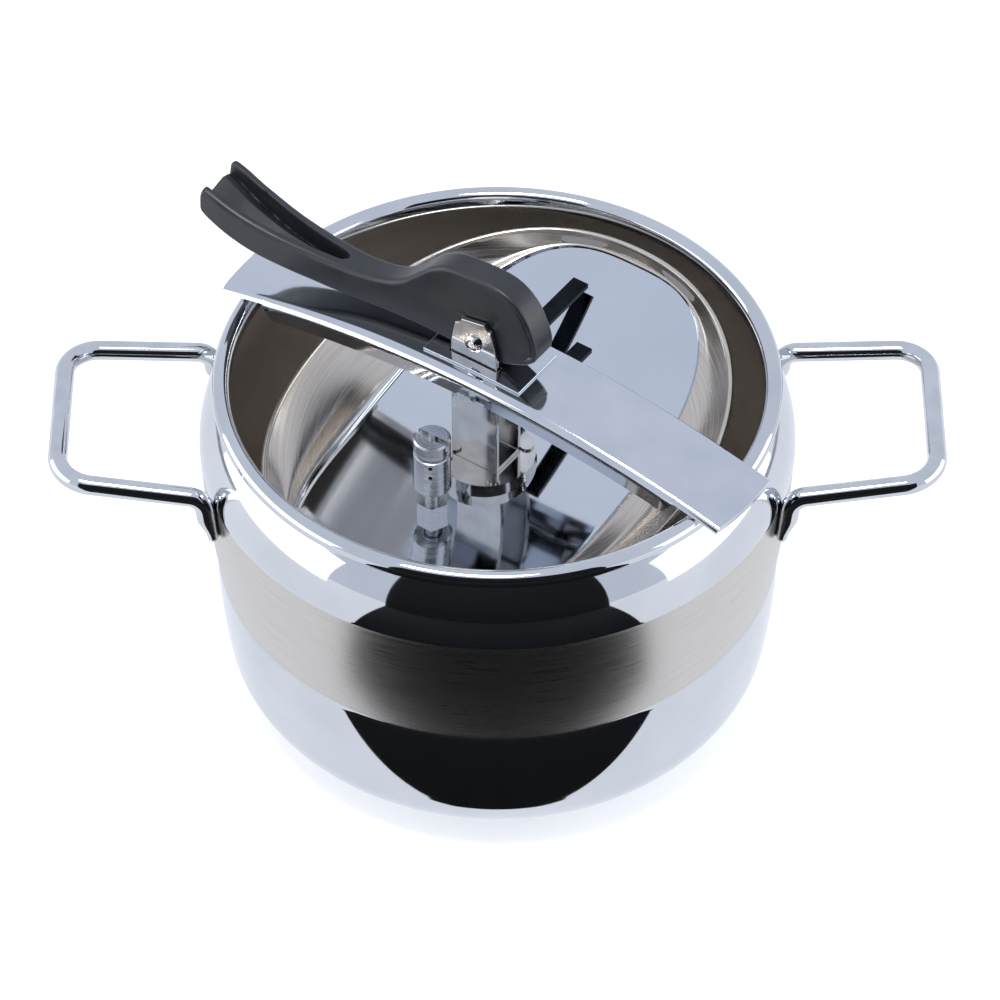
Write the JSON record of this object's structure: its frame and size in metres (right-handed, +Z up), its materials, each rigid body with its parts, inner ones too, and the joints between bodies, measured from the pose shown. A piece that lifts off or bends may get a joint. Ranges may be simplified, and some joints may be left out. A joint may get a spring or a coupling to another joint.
{
  "type": "stovetop pressure cooker",
  "caption": "Round-bellied stainless stovetop pressure cooker with a flexible inner lid hung from a bridge bar and lifted by a black cam lever; wire side handles.",
  "frame": {"origin": "centre of the underside of the pot's base, on the pot's axis", "axes": "+Z up along the pot's axis, +X through the right-hand wire handle"},
  "size_m": [0.358, 0.24, 0.2221],
  "materials": {
    "polished_steel": "mirror polished stainless steel",
    "satin_steel": "satin stainless steel",
    "spring_steel": "polished spring stainless steel",
    "turned_steel": "turned stainless steel",
    "blackened_steel": "black coated steel strip",
    "core_aluminium": "rolled aluminium",
    "phenolic": "moulded black phenolic, satin",
    "silicone": "grey silicone rubber"
  },
  "bodies": {
    "pot": {"pot_shell": "polished_steel", "base_core": "core_aluminium", "base_capsule": "satin_steel", "handle_left": "polished_steel", "handle_right": "polished_steel"},
    "bar": {"bridge_bar": "polished_steel", "cam_plate": "polished_steel"},
    "lid": {"lid_dish": "spring_steel", "lid_gasket": "silicone", "stirrup": "polished_steel", "pivot_pin": "turned_steel", "stirrup_seat": "polished_steel", "seat_rivets": "turned_steel", "guide_fork": "blackened_steel", "vent_tube": "turned_steel", "vent_washer": "silicone", "vent_nut": "turned_steel", "safety_cage": "turned_steel", "safety_washer": "silicone", "safety_nut": "turned_steel", "safety_spring": "spring_steel"},
    "lever_arm": {"lever": "phenolic", "lever_bush": "turned_steel"},
    "weight": {"regulator_weight": "turned_steel", "regulator_pin": "turned_steel"},
    "poppet": {"safety_poppet": "turned_steel"}
  },
  "joints": [
    {"name": "bar_swivel", "type": "hinge", "parent": "pot", "child": "bar", "pos_m": [0, 0, 0], "axis": [0, 0, 1], "continuous": true},
    {"name": "lid_lift", "type": "slide", "parent": "bar", "child": "lid", "axis": [0, 0, 1], "range_m": [0, 0.021], "deforming": ["lid_dish", "lid_gasket"]},
    {"name": "lever_swing", "type": "hinge", "parent": "lid", "child": "lever_arm", "pos_m": [-0.00451, -0.00295, 0.19015], "axis": [0.5736, 0.8192, 0], "range_deg": [0, 90]},
    {"name": "weight_lift", "type": "slide", "parent": "lid", "child": "weight", "axis": [0, 0, 1], "range_m": [0, 0.003]},
    {"name": "poppet_lift", "type": "slide", "parent": "lid", "child": "poppet", "axis": [0, 0, 1], "range_m": [0, 0.0025], "stiffness_N_per_m": 400, "springref_m": -0.002, "deforming": ["safety_spring"]}
  ],
  "couplings": [
    {"joint": "lid_lift", "follows": "lever_swing", "m_per_rad": 0.013369}
  ]
}
